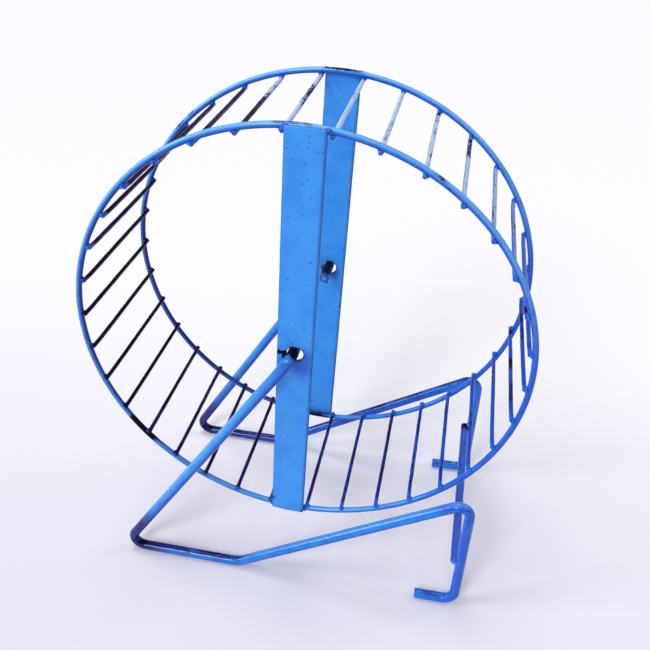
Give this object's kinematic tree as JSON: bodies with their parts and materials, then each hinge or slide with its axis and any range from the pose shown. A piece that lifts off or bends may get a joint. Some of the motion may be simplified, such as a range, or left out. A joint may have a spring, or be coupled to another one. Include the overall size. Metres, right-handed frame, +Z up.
{
  "type": "hamster exercise wheel",
  "caption": "Small-pet exercise wheel of welded wire with flat cross strips, turning freely on the bent-in ends of a wire stand.",
  "frame": {"origin": "on the floor, straight below the middle of the axle: centre of the bounding box's bottom", "axes": "+X to the side where the stand's legs and feet are, +Y along the axle towards the rear, +Z up"},
  "size_m": [0.14, 0.0688, 0.1664],
  "materials": {
    "ring_enamel": "glossy blue enamel over wire, worn and chipped",
    "strip_enamel": "satin to glossy blue enamel with fine pits, bare dark edge on top",
    "rung_paint": "thin worn blue-grey paint over dark steel wire",
    "stand_enamel": "glossy blue enamel over thick wire, dark bare specks",
    "bar_paint": "thin grey-violet paint, burnt black at the rear weld"
  },
  "bodies": {
    "stand": {"side_wire_front": "stand_enamel", "side_wire_rear": "stand_enamel", "cross_bar": "bar_paint"},
    "wheel": {"ring_front": "ring_enamel", "ring_rear": "ring_enamel", "strip_front": "strip_enamel", "strip_rear": "strip_enamel", "rung_left_01": "rung_paint", "rung_left_02": "rung_paint", "rung_left_03": "rung_paint", "rung_left_04": "rung_paint", "rung_left_05": "rung_paint", "rung_left_06": "rung_paint", "rung_left_07": "rung_paint", "rung_left_08": "rung_paint", "rung_left_09": "rung_paint", "rung_left_10": "rung_paint", "rung_left_11": "rung_paint", "rung_left_12": "rung_paint", "rung_left_13": "rung_paint", "rung_left_14": "rung_paint", "rung_left_15": "rung_paint", "rung_left_16": "rung_paint", "rung_left_17": "rung_paint", "rung_right_01": "rung_paint", "rung_right_02": "rung_paint", "rung_right_03": "rung_paint", "rung_right_04": "rung_paint", "rung_right_05": "rung_paint", "rung_right_06": "rung_paint", "rung_right_07": "rung_paint", "rung_right_08": "rung_paint", "rung_right_09": "rung_paint", "rung_right_10": "rung_paint", "rung_right_11": "rung_paint", "rung_right_12": "rung_paint", "rung_right_13": "rung_paint", "rung_right_14": "rung_paint", "rung_right_15": "rung_paint", "rung_right_16": "rung_paint", "rung_right_17": "rung_paint"}
  },
  "joints": [
    {"name": "wheel_spin", "type": "hinge", "parent": "stand", "child": "wheel", "pos_m": [0, 0, 0.0964], "axis": [0, 1, 0], "continuous": true}
  ]
}
